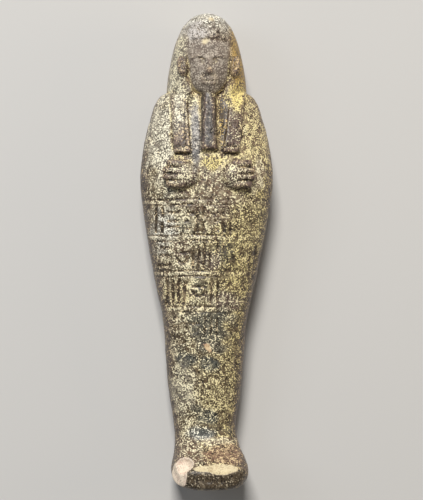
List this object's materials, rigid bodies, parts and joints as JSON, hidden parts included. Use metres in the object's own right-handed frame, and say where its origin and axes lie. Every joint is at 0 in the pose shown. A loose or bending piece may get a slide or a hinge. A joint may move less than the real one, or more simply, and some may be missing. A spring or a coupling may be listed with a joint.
{
  "type": "ushabti figurine",
  "caption": "Mummiform ushabti figurine lying on its back, with long wig, false beard, clenched hands and worn bands of inscription.",
  "frame": {"origin": "under the middle of the figure, on the plane that its back rests on", "axes": "+Y from the sole to the crown, +Z out of the figure's front, +X to the figure's own left"},
  "size_m": [0.066, 0.2336, 0.046],
  "materials": {
    "worn_glaze": "dark umber glaze worn to a dense yellow and cream speckle, matt, with bare cream body where it is chipped"
  },
  "bodies": {
    "root": {"ushabti_figure": "worn_glaze"}
  },
  "joints": []
}
